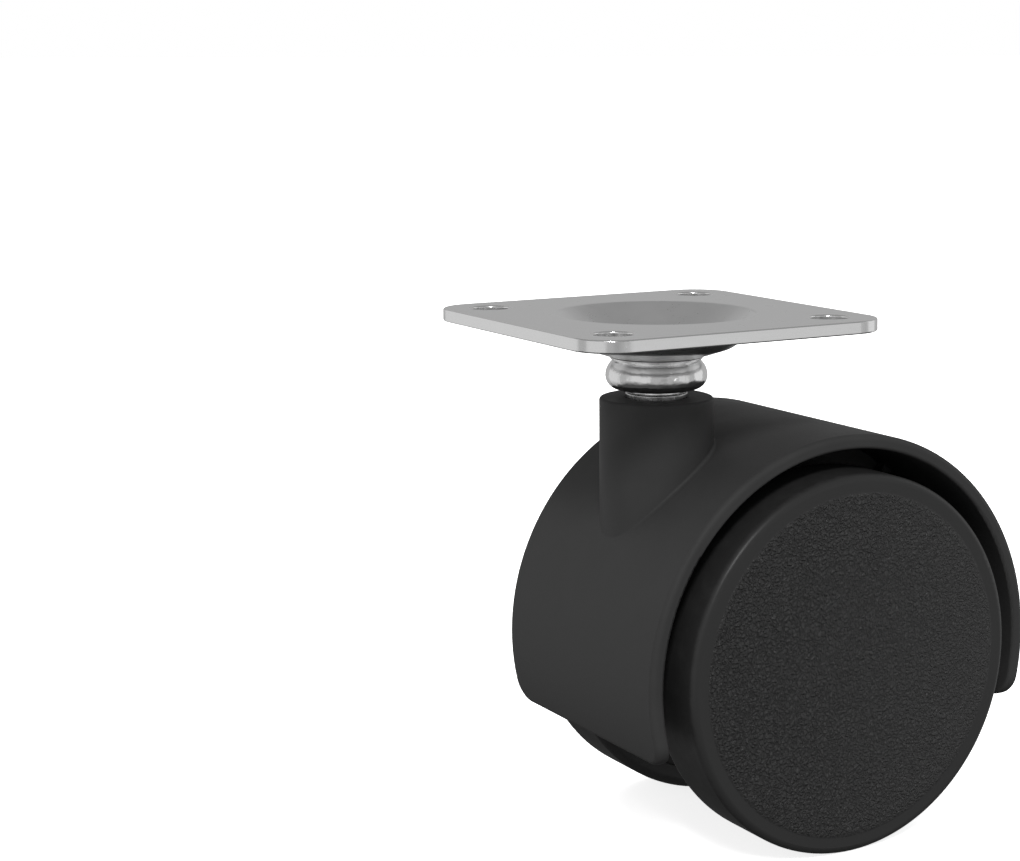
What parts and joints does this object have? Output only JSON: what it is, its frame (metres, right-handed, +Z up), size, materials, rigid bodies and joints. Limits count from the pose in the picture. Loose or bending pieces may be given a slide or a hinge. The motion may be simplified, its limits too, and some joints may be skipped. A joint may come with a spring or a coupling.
{
  "type": "twin-wheel hooded plate caster",
  "caption": "Swivel furniture caster: square top plate, riveted pin, hooded fork and twin wheels that spin on one axle.",
  "frame": {"origin": "centre of the bolt pattern on the plate's top face, on the swivel axis", "axes": "+Z up along the swivel axis, out of the plate's top face; +X the way the wheels trail at rest; Y along the axle, left side at -Y"},
  "size_m": [0.0695, 0.044, 0.07],
  "materials": {
    "zinc_steel": "satin zinc-plated pressed steel",
    "bright_steel": "bright turned and nickel-plated steel",
    "spring_steel": "oiled spring steel",
    "hood_nylon": "matt black moulded nylon",
    "core_nylon": "matt black moulded nylon",
    "cap_nylon": "fine leather-grained black nylon",
    "tyre_rubber": "smooth black hard tread",
    "bearing_acetal": "natural acetal"
  },
  "bodies": {
    "mount_plate": {"top_plate": "zinc_steel", "swivel_pin": "bright_steel", "pin_collar": "bright_steel", "grip_ring": "spring_steel"},
    "fork": {"hood": "hood_nylon", "stem_sleeve": "bright_steel", "thrust_disc": "spring_steel", "axle": "bright_steel", "left_hub_washer": "bearing_acetal", "right_hub_washer": "bearing_acetal", "left_axle_clip": "spring_steel", "right_axle_clip": "spring_steel"},
    "left_wheel": {"left_wheel_core": "core_nylon", "left_hub_bush": "bearing_acetal", "left_tyre": "tyre_rubber", "left_wheel_cap": "cap_nylon"},
    "right_wheel": {"right_wheel_core": "core_nylon", "right_hub_bush": "bearing_acetal", "right_tyre": "tyre_rubber", "right_wheel_cap": "cap_nylon"}
  },
  "joints": [
    {"name": "swivel", "type": "hinge", "parent": "mount_plate", "child": "fork", "pos_m": [0, 0, 0], "axis": [0, 0, 1], "continuous": true},
    {"name": "left_spin", "type": "hinge", "parent": "fork", "child": "left_wheel", "pos_m": [0.0177, 0, -0.045], "axis": [0, 1, 0], "continuous": true},
    {"name": "right_spin", "type": "hinge", "parent": "fork", "child": "right_wheel", "pos_m": [0.0177, 0, -0.045], "axis": [0, 1, 0], "continuous": true}
  ]
}
